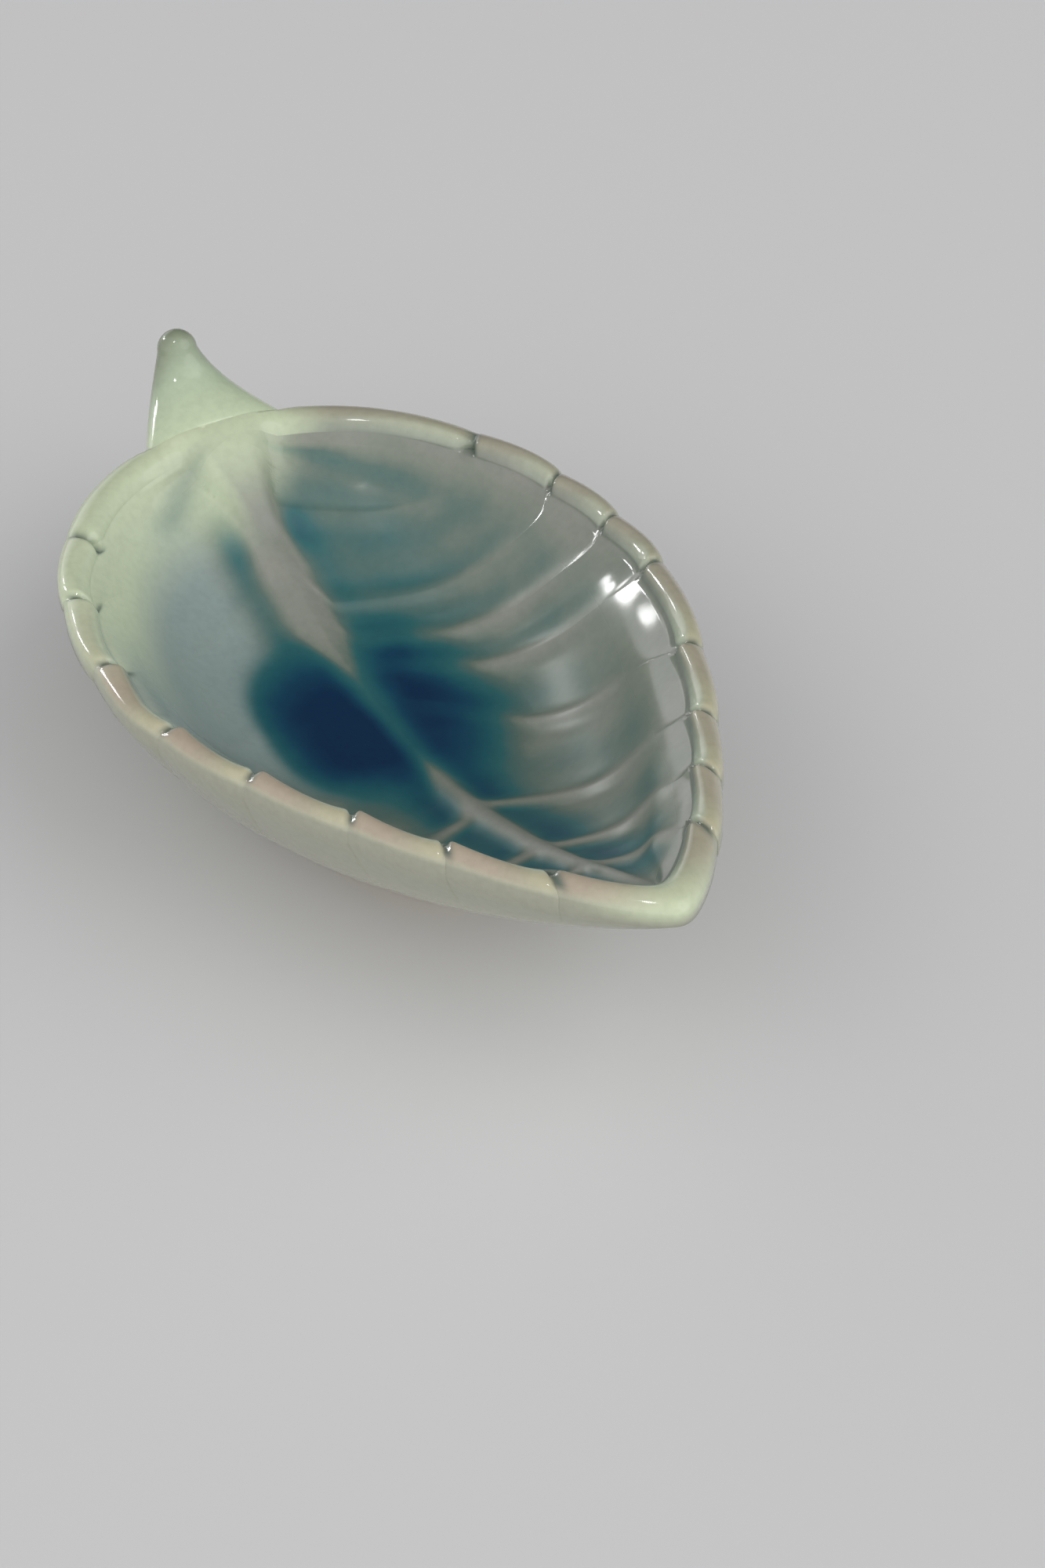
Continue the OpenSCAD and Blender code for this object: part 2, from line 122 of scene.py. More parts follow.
def lip_top(s):
    """Height of the lip's top at share s: it rises to the tip and drops a little to the base."""
    tip = TIP_RISE * np.clip((s - WIDEST) / (1 - WIDEST), 0, 1) ** 1.1
    base = -BASE_DROP * np.clip((WIDEST - s) / WIDEST, 0, 1) ** 1.2
    return LIP_Z + np.where(s >= WIDEST, tip, base)


def keel(s, bottom, drop):
    """Height along the midrib at share s: a power curve from the lowest place up to the lip at each end."""
    to_tip = np.clip((s - LOW) / (1 - LOW), 0, 1) ** 1.72
    to_base = np.clip((LOW - s) / LOW, 0, 1) ** 2.37
    end = np.where(s >= LOW, LIP_Z + TIP_RISE, LIP_Z - BASE_DROP) - LIP_R - drop
    return bottom + (end - bottom) * np.where(s >= LOW, to_tip, to_base)


def outside(s, v):
    """Height of the outer face at share v of the half-width: a high power of v from the keel to the lip."""
    k = keel(s, FLOOR_Z - WALL, UNDER_LIP)
    return k + (lip_top(s) - LIP_R - UNDER_LIP - k) * v ** WALL_TURN


def band_foot(s):
    """Share of the half-width where the band starts."""
    return np.maximum(0.5, 1 - BAND_W / np.maximum(0.01, INNER_HALF_W * leaf_shape(s)))


def inside(s, v):
    """Height of the inner face: the same power curve up to the band's foot, then the band's straight slope."""
    k = keel(s, FLOOR_Z, 0)
    rim = lip_top(s) - LIP_R
    rise = np.minimum(BAND_H, (rim - k) / 2)
    start = band_foot(s)
    up = np.maximum(0, 1 - soft(1 - v / start, 0.08))
    out = soft((v - start) / (1 - start), 0.25)
    return k + (rim - rise - k) * up ** WALL_TURN + rise * out


def along(values, q):
    """The values read off at column q, straight between whole numbers."""
    return np.interp(q, np.arange(len(values)), values)


def lip_share(side, q):
    """Share of the length where column q meets the lip, evened out along the curve of the outline."""
    turn = np.arccos(1 - 2 * np.array(NOTCHES[side]))
    return (1 - np.cos(along(turn, q))) / 2


def near_notch(q, width):
    """A bell that is 1 on each notch, width of a lobe wide, with none at the base and the tip."""
    k = np.round(q)
    return np.where((k < 1) | (k > LOBES - 1), 0, bell(q - k, width))


def swell(q):
    """Saw-toothed swell of the lobes: a slow rise after each notch, and a quick fall to the next."""
    t = q - np.floor(q)
    tooth = 1.6 * t * (1 - t) ** 0.45 - 0.5
    tooth = np.where(q <= 1, -0.5 * q ** 3, tooth)
    return np.where(q >= LOBES - 1, -0.5 * (LOBES - q) ** 3, tooth)


def sweep_share(side, q, v):
    """Share of the length at row v of column q: from the midrib along its vein, and at last to its notch."""
    own, to = along(VEIN_FROM[side], q), along(VEIN_TO[side], q)
    shared = (along(VEIN_FROM[LEFT], q) + along(VEIN_FROM[RIGHT], q)) / 2
    start = shared + (own - shared) * np.minimum(1, v / 0.12)
    return start + (to - start) * v ** 1.4 + (lip_share(side, q) - to) * v ** 16


def vein_distance(side, q, v):
    """Distance in millimetres, along the leaf, from column q to its nearest vein: columns times their pitch."""
    pitch = []
    for places in (VEIN_FROM[side], VEIN_TO[side]):
        pitch.append(along(places, np.minimum(q + 0.5, LOBES)) - along(places, np.maximum(q - 0.5, 0)))
    here = pitch[0] + (pitch[1] - pitch[0]) * v ** 1.4
    return np.abs(q - np.clip(np.round(q), 1, LOBES - 1)) * here * INNER_L


def midrib(s, y):
    """Height of the midrib over the floor: a bell across, which narrows to the tip."""
    return MIDRIB_H * bell(y, MIDRIB_W + (MIDRIB_TIP_W - MIDRIB_W) * s)


def veins(side, q, v):
    """Height of the side veins: a bell on each, between two shallower grooves, lower under the thick glaze."""
    d = vein_distance(side, q, v)
    vein = VEIN_H * bell(d, VEIN_W) - GROOVE_D * bell(d - (VEIN_W + GROOVE_W) / 2, GROOVE_W)
    return vein * along(VEIN_SHARE[side], q)


def relief(side, q, s, v, y):
    """Midrib and side veins over the floor, fading out below the lip and at the tip."""
    beside = np.clip((v - 0.05) / 0.1, 0, 1)
    fade = (1 - np.minimum(1, v / 0.88) ** 10) * np.clip((1 - s) / 0.1, 0, 1)
    return (midrib(s, y) + beside * veins(side, q, v)) * fade


# %% [markdown]
# The potter laid the flattened end of the stem over the lip and smoothed it down into the bowl, where it turns
# into the midrib. That clay is a second surface, and a soft maximum joins it to the bowl.

# %% The clay laid over the lip
DRAPE_Z = LIP_Z - BASE_DROP + STEM_RISE
DRAPE_END = float(keel(np.array((STEM_FLAT + DRAPE_L - BASE_LIP_W) / INNER_L), FLOOR_Z, 0)) + MIDRIB_H


def draped(p):
    """Points raised to the laid clay: it drops with the power 1.5 of the way in, and falls to its sides."""
    t = np.clip((p[..., 0] - STEM_FLAT) / DRAPE_L, 0, 1)
    half_w = MIDRIB_W / 2 + (STEM_ROOT_W - MIDRIB_W) / 2 * (1 - t) ** 2.5
    top = DRAPE_Z - (DRAPE_Z - DRAPE_END) * t ** 1.5 - DRAPE_FALL * (np.abs(p[..., 1]) / half_w) ** 3.5
    lift = soft(top - p[..., 2], DRAPE_BLEND) * np.minimum(1, 4 * (1 - t))
    p = p.copy()
    p[..., 2] += lift
    return p


# %% [markdown]
# One cross-section of the shell runs from the midrib over the floor, up the wall, round the lip and back under
# the dish. The surface is that section carried along all the lobes, for the left and the right side alike.

# %% Faces of the shell
def face_place(side, q, v, x0, length, half_w):
    """Place in plan of points of a face, and their shares of the length and of the half-width."""
    s = sweep_share(side, q, v)
    y = v * half_w * leaf_shape(lip_share(side, q))
    across = np.clip(y / np.maximum(0.01, half_w * leaf_shape(s)), 0, 1)
    return x0 + length * s, side * y, s, across


def lip_edges(side, q):
    """The lip's inner and outer edge in plan at column q."""
    s = lip_share(side, q)
    z = lip_top(s) - LIP_R
    inner = np.stack([BASE_LIP_W + INNER_L * s, side * INNER_HALF_W * leaf_shape(s), z], axis=-1)
    outer = np.stack([BLADE_L * s, side * BLADE_W / 2 * leaf_shape(s), z], axis=-1)
    return inner, outer


def lobe(side, q):
    """The lobes' bulge, out across the lip."""
    inner, outer = lip_edges(side, q)
    d = outer - inner
    return d / np.linalg.norm(d, axis=-1, keepdims=True) * (LOBE_D * swell(q))[..., None]


def inner_face(side, q, v):
    """The glazed floor, wall and band, with the veins."""
    x, y, s, across = face_place(side, q, v, BASE_LIP_W, INNER_L, INNER_HALF_W)
    p = np.stack([x, y, inside(s, across) + relief(side, q, s, v, y)], axis=-1)
    return draped(p + lobe(side, q) * (v ** 12)[..., None])


def outer_face(side, q, v):
    """The outside of the wall and the underside, cut flat where the stem is luted on."""
    x, y, s, across = face_place(side, q, v, 0, BLADE_L, BLADE_W / 2)
    p = np.stack([x, y, outside(s, across)], axis=-1) + lobe(side, q) * (0.6 * v ** 6)[..., None]
    p[..., 0] = np.maximum(p[..., 0], STEM_FLAT)
    return p


def lip_face(side, q, turn):
    """The lip: round outside, a bevel inside, its crest leaning with the bulge, cut inside at each notch."""
    inner, outer = lip_edges(side, q)
    outward = (1 + np.cos(turn)) / 2
    left = 1 - NOTCH_D / LIP_R * near_notch(q, NOTCH_SHARE) * (1 - outward)
    over = (np.cos(turn) + 0.6 * swell(q) * np.sin(turn) ** 2) * left
    p = (inner + outer) / 2 + (outer - inner) / 2 * over[..., None]
    p[..., 2] += LIP_R * np.sin(turn) ** np.where(turn > np.pi / 2, LIP_BEVEL, 1) * left
    p = p + lobe(side, q) * (1 - 0.4 * outward)[..., None]
    p[..., 0] = np.maximum(p[..., 0], STEM_FLAT)
    return draped(p)


# %% [markdown]
# Every piece here is a grid of points. One helper joins the points into four-cornered faces, merges the points
# that fall together at the ends, turns the faces outwards and stores the glaze's depth with each point.

# %% Mesh from a grid
SHARP_FROM = math.radians(60)


def add_piece(name, points, attributes, closed=True):
    """Mesh of a grid of points: rows around, columns along, with one number per point for each attribute."""
    columns, rows = points.shape[:2]
    flat = (points.reshape(-1, 3) - MIDDLE) / 1000
    i, j = np.meshgrid(np.arange(columns - 1), np.arange(rows if closed else rows - 1), indexing="ij")
    k = (j + 1) % rows
    quads = np.stack([i * rows + j, (i + 1) * rows + j, (i + 1) * rows + k, i * rows + k], axis=-1).reshape(-1, 4)
    keys, first, merged = np.unique(np.round(flat, 8), axis=0, return_index=True, return_inverse=True)
    quads = merged.reshape(-1)[quads]
    verts = flat[first]
    faces = []
    for corner_order in ((0, 1, 2), (0, 2, 3)):
        faces.append(quads[:, corner_order])
    tris = np.concatenate(faces)
    tris = tris[(tris[:, 0] != tris[:, 1]) & (tris[:, 1] != tris[:, 2]) & (tris[:, 0] != tris[:, 2])]
    a, b, c = (verts[tris[:, n]] for n in range(3))
    if np.einsum("ij,ij->i", a, np.cross(b, c)).sum() < 0:
        tris = tris[:, ::-1]
    mesh = bpy.data.meshes.new(name)
    mesh.from_pydata(verts.tolist(), [], tris.tolist())
    for label, values in attributes.items():
        layer = mesh.attributes.new(label, "FLOAT", "POINT")
        layer.data.foreach_set("value", values.reshape(-1)[first].astype(np.float32))
    mesh.update()
    mesh.shade_smooth()
    mesh.set_sharp_from_angle(angle=SHARP_FROM)
    piece = bpy.data.objects.new(name, mesh)
    bpy.context.scene.collection.objects.link(piece)
    print(name, len(verts), "points", len(tris), "triangles")
    return piece


# %% [markdown]
# The glaze is a thick coat of coloured glass that ran while it was molten. It drew back from the ridges, where
# the warm grey clay shows through, and gathered in the grooves. On the floor it levelled like water, dark blue
# where it stands deepest. So one number, the depth of the glass in millimetres, drives most of the colour. It is
# an even coat, with faint streaks between the veins, plus what was caught in places, plus all that lies below
# the level of the molten glass. On the left floor near the base, extra depth is painted shade.

# %% Depth of the glass
COAT, STREAK, THINNEST = 0.33, 0.12, 0.14
LEVEL_RIGHT, LEVEL_CLIMB = 0.27, 0.04
LEFT_EDGE_THIN, LEFT_EDGE_SOFT, RIGHT_EDGE_SOFT = 0.35, 0.65, 0.45


def pool_level(x, y):
    """Height of the molten glass's top: a little higher on the right, and creeping up towards the base."""
    right_rise = LEVEL_RIGHT * smooth(-y, -2, 3) * (1 - smooth(x, 46, 60))
    return FLOOR_Z + POOL_H + right_rise + LEVEL_CLIMB * np.maximum(0, LOW_X - 5 - x)


def runnel(side, x, y):
    """Thin run of glass on the right, beside the laid clay: a bell across the slanting line x - y = 0.8."""
    along_run = smooth(x, 3.5, 6) * (1 - smooth(x, 10, 14)) * (side == RIGHT)
    return along_run * bell((x - 0.8 - y) / math.sqrt(2), 2.6)


def gathered(side, q, s, v, x, y, across):
    """Extra depth where the glass was caught, each place a bell or a product of smooth steps; y is the distance
    from the midrib. In order: at the band's foot, over the left floor near the base, where the extra depth is
    painted shade, in two runs down the left wall, over the midrib between the pools, in two spots and two furrows
    beside the laid clay, and in pockets between the veins near the tip."""
    at_base = 1 - smooth(x, 10, 26)
    foot = bell(across - band_foot(s), 0.14) * (0.12 + 0.45 * (side == LEFT) * at_base)
    # Painted shade: the left floor and wall near the base are darkened by extra depth of glass.
    floor = 0.2 * (side == LEFT) * smooth(y, 3, 7) * (1 - smooth(across, 0.55, 0.8)) * (1 - smooth(x, 26, 38))
    runs = 0.16 * (side == LEFT) * (bell(q - 1.35, 0.3) + bell(q - 1.85, 0.3)) * bell(v - 0.5, 0.6)
    crossing = 0.45 * bell(x - 54, 13) * bell(y, 6)
    spots = 0.4 * bell(x - 13.5, 5) * bell(y - 3.7, 2.6)
    furrows = 0.25 * bell(y - 4.3, 3) * smooth(x, 11, 14) * (1 - smooth(x, 24, 30))
    beside = bell(np.abs(y) - 3.2, 4.4) * smooth(s, 0.5, 0.6) * (1 - smooth(s, 0.9, 0.97))
    pockets = 0.8 * beside * (1 - bell(vein_distance(side, q, v), 2.6))
    return foot + floor + runs + crossing + spots + furrows + pockets + 0.3 * runnel(side, x, y)


def glass_depth(side, q, v):
    """Depth inside the bowl: the coat, thinner on ridges and under the lip, with a cosine between the veins on
    the left, and a soft maximum of 0 and what stands between the floor and the level."""
    x, y, s, across = face_place(side, q, v, BASE_LIP_W, INNER_L, INNER_HALF_W)
    ridge = relief(side, q, s, v, y)
    floor = inner_face(side, q, v)[..., 2] - (ridge - midrib(s, y))
    under = pool_level(x, y) - floor - LEFT_EDGE_THIN * smooth(y, 4, 12)
    low_on_left = (1 - smooth(v, 0.2, 0.55)) * (1 - smooth(s, 0.62, 0.75)) * (side == LEFT) * smooth(y, 2, 4)
    from_ridge = 0.75 * (1 - low_on_left) * (1 - smooth(under, -0.3, 0.5))
    into_groove = 0.4 * np.clip(1.2 - v, 0, 1)
    moved = np.where(ridge > 0, from_ridge, into_groove) * ridge
    streaks = -np.cos(2 * np.pi * (q - 0.1)) * smooth(v, 0.05, 0.25) * smooth(q, 1.8, 2.5) * (side == LEFT)
    coat = COAT + STREAK * (streaks + 0.5) * (1 - smooth(v, 0.7, 0.95)) - moved
    coat = np.clip(coat + gathered(side, q, s, v, x, np.abs(y), across), THINNEST, 2)
    return coat * (1 - 0.45 * v ** 6) + soft(under, np.where(y > 0, LEFT_EDGE_SOFT, RIGHT_EDGE_SOFT))


def pale_and_lit_share(side, p, reach):
    """Where the glaze is thin and pale green, and painted lighter for the light that falls on the base's wall: round
    the laid clay out to reach, and on the band right of it.
    """
    x, y = p[..., 0], p[..., 1]
    from_stem = np.sqrt((x - STEM_FLAT) ** 2 + (y * 1.1) ** 2)
    lit_right_band = smooth(p[..., 2], 12.5, 17.5) * (1 - smooth(x, 22, 44)) * smooth(-y, 0, 3)
    near_stem = 1 - smooth(from_stem, reach - 8, reach)
    return np.maximum(near_stem, lit_right_band) * (1 - 0.5 * runnel(side, x, np.abs(y)))


def milk_share(side, p, depth):
    """Where the glaze turned milky: on the floor's right side between the base and the dark glass."""
    if side == LEFT:
        return np.zeros(p.shape[:2])
    x, y = p[..., 0], -p[..., 1]
    return smooth(x, 7, 14) * (1 - smooth(x, 40, 56)) * smooth(y, 4, 9) * (1 - smooth(depth, 0.5, 1.1))


# %% The bowl
def lobe_steps(per_lobe):
    """Columns that crowd at the notches: each lobe's steps are shifted by a sine towards its two ends."""
    u = np.linspace(0, LOBES, LOBES * per_lobe + 1)
    return u - 0.7 * np.sin(2 * np.pi * u) / (2 * np.pi)


def lip_tints(side, q, lip_out, x):
    """Masks of the tints on the lip, which follow each lobe from its start at 0 to its end at 1: brown where it
    starts, cream where it ends, a pale wedge that widens along the inner edge, and dark glass in the notch. On the
    left side the cream and the wedge are painted darker near the base, as painted shade, and lighter towards the
    tip, as a painted highlight on the crest."""
    t = q - np.floor(q)
    # Painted light on the left side: the cream is painted darker near the base for shade, and lighter towards the tip
    # for a highlight on the crest.
    warm_and_lit = 1 if side == RIGHT else 0.6 + 0.4 * smooth(x, 40, 70)
    brown = 1 if side == RIGHT else 0.4
    on_top = smooth(lip_out, 0.02, 0.3)
    wedge = smooth(t, 0.15, 0.95)
    inner_edge = 1 - smooth(lip_out, 0.1 + 0.25 * wedge, 0.25 + 0.3 * wedge)
    in_notch = np.where((q < 0.7) | (q > LOBES - 0.7), 0, bell(q - np.round(q) - 0.02, 0.07))
    return {"cream": warm_and_lit * on_top * (0.6 + 0.4 * smooth(t, 0.4, 0.9)),
            "brown": brown * on_top * (1 - smooth(t, 0.35, 0.85)) * smooth(lip_out, 0.15, 0.5),
            "lip_edge": 0.9 * warm_and_lit * wedge * inner_edge * smooth(lip_out, 0, 0.06),
            "notch": in_notch * (1 - smooth(lip_out, 0.8, 0.98))}


LIP_TINTS = ("cream", "brown", "lip_edge", "notch")


def bowl_grid():
    """Closed cross-sections along all lobes: left floor, lip and underside, then the right ones back."""
    q = lobe_steps(36)
    inner_v = np.concatenate([np.linspace(0, 0.1, 9)[:-1], np.linspace(0.1, 1, 50)])
    outer_v = np.linspace(1, 0, 26)
    turns = np.radians(np.linspace(180, 0, 18)[1:-1])
    loops, masks = [], []
    for side in (LEFT, RIGHT):
        qi, vi = np.meshgrid(q, inner_v, indexing="ij")
        qt, ti = np.meshgrid(q, turns, indexing="ij")
        qo, vo = np.meshgrid(q, outer_v, indexing="ij")
        inner, lip, outer = inner_face(side, qi, vi), lip_face(side, qt, ti), outer_face(side, qo, vo)
        depth = glass_depth(side, qi, vi)
        lip_out = (1 + np.cos(ti)) / 2
        tints = lip_tints(side, qt, lip_out, lip[..., 0])
        top_tints = lip_tints(side, qi, 0.1 + 0 * qi, inner[..., 0])
        near_top = (side == RIGHT) * smooth(vi, 0.93, 0.985)
        parts = {
            "glass_depth": (depth, np.full(qt.shape, 0.2), np.full(qo.shape, 0.3)),
            # Pale glaze, painted lighter as painted light on the base's wall, and on the lip towards the tip as a
            # painted highlight over the glaze's yellow-green.
            "pale_and_lit": (pale_and_lit_share(side, inner, 11),
                     np.maximum(pale_and_lit_share(side, lip, 15), 0.9 * smooth(lip[..., 0], 94, 102)),
                     0.7 * (1 - smooth(outer[..., 0] + 0.7 * np.abs(outer[..., 1]), 6, 16))),
            "milk": (milk_share(side, inner, depth), np.zeros(qt.shape), np.zeros(qo.shape)),
            "outside": (np.zeros(qi.shape), smooth(lip_out, 0.85, 1), np.ones(qo.shape)),
            "satin": (1 - smooth(vi, 0.78, 0.95), np.zeros(qt.shape), np.zeros(qo.shape)),
            # Painted shade: the lip's outer turn and the top of the outer wall are painted darker, just below the
            # lip.
            "shade_below_lip": (np.zeros(qi.shape), smooth(lip_out, 0.93, 1), smooth(vo, 0.78, 0.92))}
        for label in LIP_TINTS:
            parts[label] = (near_top * top_tints[label], tints[label], np.zeros(qo.shape))
        loops.append(np.concatenate([inner, lip, outer], axis=1))
        masks.append({label: np.concatenate(three, axis=1) for label, three in parts.items()})
    loop = np.concatenate([loops[0], loops[1][:, -2:0:-1]], axis=1)
    mask = {label: np.concatenate([masks[0][label], masks[1][label][:, -2:0:-1]], axis=1) for label in masks[0]}
    return loop, mask


bowl_points, bowl_masks = bowl_grid()
low_mm, high_mm = bowl_low * 1000 + MIDDLE, bowl_high * 1000 + MIDDLE
bowl = add_piece("leaf_bowl_glazed", np.clip(bowl_points, low_mm, high_mm), bowl_masks)
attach(bowl, "root")
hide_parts("leaf_bowl")

# %% [markdown]
# In the two pools the glass ran together and set level. Each is a body of its own: its top is the level, its
# underside lies in the clay, and its edge creeps up the floor a little, as a liquid does on what it wets.

# %% The glaze pools
def pool_piece(name, side):
    """Body of glass: a soft maximum of the level and of a face just under the floor, over a deeper underside."""
    q, v = np.meshgrid(np.linspace(1.6, 7.2, 130), np.linspace(0, 0.72, 60), indexing="ij")
    floor = inner_face(side, q, v)
    top, bottom = floor.copy(), floor.copy()
    top[..., 2] = floor[..., 2] - 0.05 + soft(pool_level(floor[..., 0], floor[..., 1]) - floor[..., 2], 0.3)
    bottom[..., 2] -= 0.3
    loop = np.concatenate([bottom, top[:, ::-1]], axis=1)
    middle = np.concatenate([(top + bottom) / 2, (top + bottom)[:, ::-1] / 2], axis=1)
    ends = [middle[:1], middle[-1:]]
    points = np.concatenate([ends[0], loop, ends[1]], axis=0)
    depth = glass_depth(side, q, v)
    masks = {"glass_depth": depth, "milk": milk_share(side, floor, depth), "satin": 1 + 0 * depth}
    for label in ("pale_and_lit", "outside", "shade_below_lip") + LIP_TINTS:
        masks[label] = 0 * depth
    for label, values in masks.items():
        values = np.concatenate([values, values[:, ::-1]], axis=1)
        masks[label] = np.concatenate([values[:1], values, values[-1:]], axis=0)
    piece = add_piece(name, points, masks)
    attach(piece, "root")
    return piece


pool_left = pool_piece("pool_left_glass", LEFT)
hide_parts("pool_left")
pool_right = pool_piece("pool_right_glass", RIGHT)
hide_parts("pool_right")

# %% [markdown]
# The stem was rolled from a lump of clay, flattened where it meets the leaf and curled up at its end.

# %% The stem
def stem_points():
    """Ovals along a bent path: wide and flat at the root, round at the end, closed by a rounded cap."""
    t = np.concatenate([np.linspace(0, 1, 60), np.ones(10)])
    cap = np.concatenate([np.zeros(60), np.radians(np.linspace(9, 90, 10))])
    level = DRAPE_Z + float(soft(np.array(-STEM_RISE), DRAPE_BLEND)) - STEM_ROOT_H / 2
    root, bend = np.array([STEM_FLAT, 0, level]), np.array([-STEM_REACH * 0.6, 0, level])
    end = np.array([-STEM_REACH + STEM_END_W / 2, 0, STEM_Z - STEM_END_W / 2])
    t_ = t[:, None]
    path = root * (1 - t_) ** 2 + bend * 2 * t_ * (1 - t_) + end * t_ ** 2
    ahead = (bend - root) * (1 - t_) + (end - bend) * t_
    ahead /= np.linalg.norm(ahead, axis=1, keepdims=True)
    up = np.stack([ahead[:, 2], np.zeros(len(t)), -ahead[:, 0]], axis=1)
    r = STEM_END_W / 2
    half_w = r + (STEM_ROOT_W / 2 - r) * (1 - t) ** 1.1
    half_h = r + (STEM_ROOT_H / 2 - r) * (1 - t) ** 2 + STEM_BELLY_H * np.sin(np.pi * t ** 0.7)
    a = np.linspace(0, 2 * np.pi, 64, endpoint=False)
    ring = path[:, None] + (ahead * r * np.sin(cap)[:, None])[:, None] \
        + up[:, None] * (half_h * np.cos(cap))[:, None, None] * np.sin(a)[None, :, None]
    ring[..., 1] += (half_w * np.cos(cap))[:, None] * np.cos(a)[None]
    root_middle = np.repeat(ring[:1].mean(axis=1, keepdims=True), len(a), axis=1)
    return np.concatenate([root_middle, ring], axis=0)


stem_grid = stem_points()
stem_end = smooth(-stem_grid[..., 0], STEM_REACH * 0.35, STEM_REACH * 0.8)
# Painted highlight over pale glaze: the stem is painted lighter towards its root, to match the pale bowl and the
# light on the laid clay.
lit_stem_root = smooth(stem_grid[..., 0], -STEM_REACH * 0.6, STEM_FLAT)
stem = add_piece("stem_glazed", stem_grid, {"stem_end": stem_end, "lit_stem_root": lit_stem_root})
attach(stem, "root")
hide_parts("stem")


# %% [markdown]
# Materials are node graphs. One function turns a hex colour to the linear values that the renderer wants, and one
# adds a node with its settings and links.

# %% Helpers for materials
def linear(hex_colour):
    """sRGB hex to linear RGBA, by the standard's curve."""
    channels = [int(hex_colour[n:n + 2], 16) / 255 for n in (1, 3, 5)]
    return [c / 12.92 if c <= 0.04045 else ((c + 0.055) / 1.055) ** 2.4 for c in channels] + [1.0]


def add(tree, kind, settings=None, inputs=None):
    """Add a node, set its properties, and set or link its inputs."""
    node = tree.nodes.new(kind)
    for name, value in (settings or {}).items():
        setattr(node, name, value)
    for name, value in (inputs or {}).items():
        if isinstance(value, bpy.types.NodeSocket):
            tree.links.new(value, node.inputs[name])
        else:
            node.inputs[name].default_value = value
    return node


def ramp(tree, factor, stops):
    """Colour ramp node over (place, hex) stops."""
    node = add(tree, "ShaderNodeValToRGB", inputs={"Fac": factor})
    elements = node.color_ramp.elements
    while len(elements) < len(stops):
        elements.new(0.5)
    for element, (place, colour) in zip(elements, stops):
        element.position = place
        element.color = linear(colour)
    return node


def new_material(name):
    """An empty material with its output node."""
    material = bpy.data.materials.new(name)
    material.use_nodes = True
    material.node_tree.nodes.clear()
    return material, material.node_tree


# %% [markdown]
# The glaze reads the depth of the glass from the points, breaks it up with noise as the run of the glass does,
# and turns it to a colour: bare warm grey, celadon green, teal and at last navy. Layers of other tints lie over it
# where the glaze is pale, milky or thin on the lip. Some layers are painted light: painted shade just below the
# lip, and the pale tint, the lip's cream and the stem's root painted lighter where light falls. The glass is
# glossy on the lip and the band, and satin on the floor and the wall, where it cooled slowly and fine crystals
# dull it, all with a faint orange peel.

# %% Celadon glaze
def celadon_glaze(name, depth_stops, layers):
    """Glossy glaze: a ramp over the depth of the glass, and layers of (attribute, colour, strength) over it."""
    material, tree = new_material(name)
    place = add(tree, "ShaderNodeTexCoord").outputs["Object"]
    clouds = add(tree, "ShaderNodeTexNoise", inputs={"Vector": place, "Scale": 170.0, "Detail": 4.0})
    grain = add(tree, "ShaderNodeTexNoise", inputs={"Vector": place, "Scale": 1100.0, "Detail": 3.0})
    depth = add(tree, "ShaderNodeAttribute", {"attribute_name": "glass_depth"}).outputs["Fac"]
    share = add(tree, "ShaderNodeMath", {"operation": "DIVIDE"}, {0: depth, 1: DEPTH_FULL})
    drift = add(tree, "ShaderNodeMath", {"operation": "MULTIPLY_ADD"},
                {0: clouds.outputs["Fac"], 1: 0.2, 2: -0.1})
    total = add(tree, "ShaderNodeMath", {"operation": "ADD", "use_clamp": True},
                {0: share.outputs[0], 1: drift.outputs[0]})
    colour = ramp(tree, total.outputs[0], depth_stops).outputs["Color"]
    for attribute, tint, strength in layers:
        mask = add(tree, "ShaderNodeAttribute", {"attribute_name": attribute}).outputs["Fac"]
        cover = add(tree, "ShaderNodeMath", {"operation": "MULTIPLY"}, {0: mask, 1: strength})
        colour = add(tree, "ShaderNodeMix", {"data_type": "RGBA"},
                     {0: cover.outputs[0], 6: colour, 7: linear(tint)}).outputs[2]
    speckle = ramp(tree, grain.outputs["Fac"], [(0.3, "#f7f7f7"), (0.6, "#ffffff")])
    colour = add(tree, "ShaderNodeMix", {"data_type": "RGBA", "blend_type": "MULTIPLY"},
                 {0: 1.0, 6: colour, 7: speckle.outputs["Color"]}).outputs[2]
    bump = add(tree, "ShaderNodeBump", inputs={"Height": grain.outputs["Fac"], "Strength": 0.03, "Distance": 0.0001})
    satin = add(tree, "ShaderNodeAttribute", {"attribute_name": "satin"}).outputs["Fac"]
    roughness = add(tree, "ShaderNodeMath", {"operation": "MULTIPLY_ADD"}, {0: satin, 1: 0.3, 2: 0.1})
    shader = add(tree, "ShaderNodeBsdfPrincipled", inputs={
        "Base Color": colour, "Roughness": roughness.outputs[0], "IOR": 1.5, "Normal": bump.outputs["Normal"]})
    add(tree, "ShaderNodeOutputMaterial", inputs={"Surface": shader.outputs["BSDF"]})
    return material


DEPTH_FULL = 2.0
GLASS_STOPS = [(0.0, "#97968e"), (0.08, "#898c83"), (0.17, "#7b8378"), (0.28, "#5a716a"), (0.45, "#2f6669"),
               (0.62, "#1b5763"), (0.78, "#0c3f5a"), (0.92, "#032b4d")]
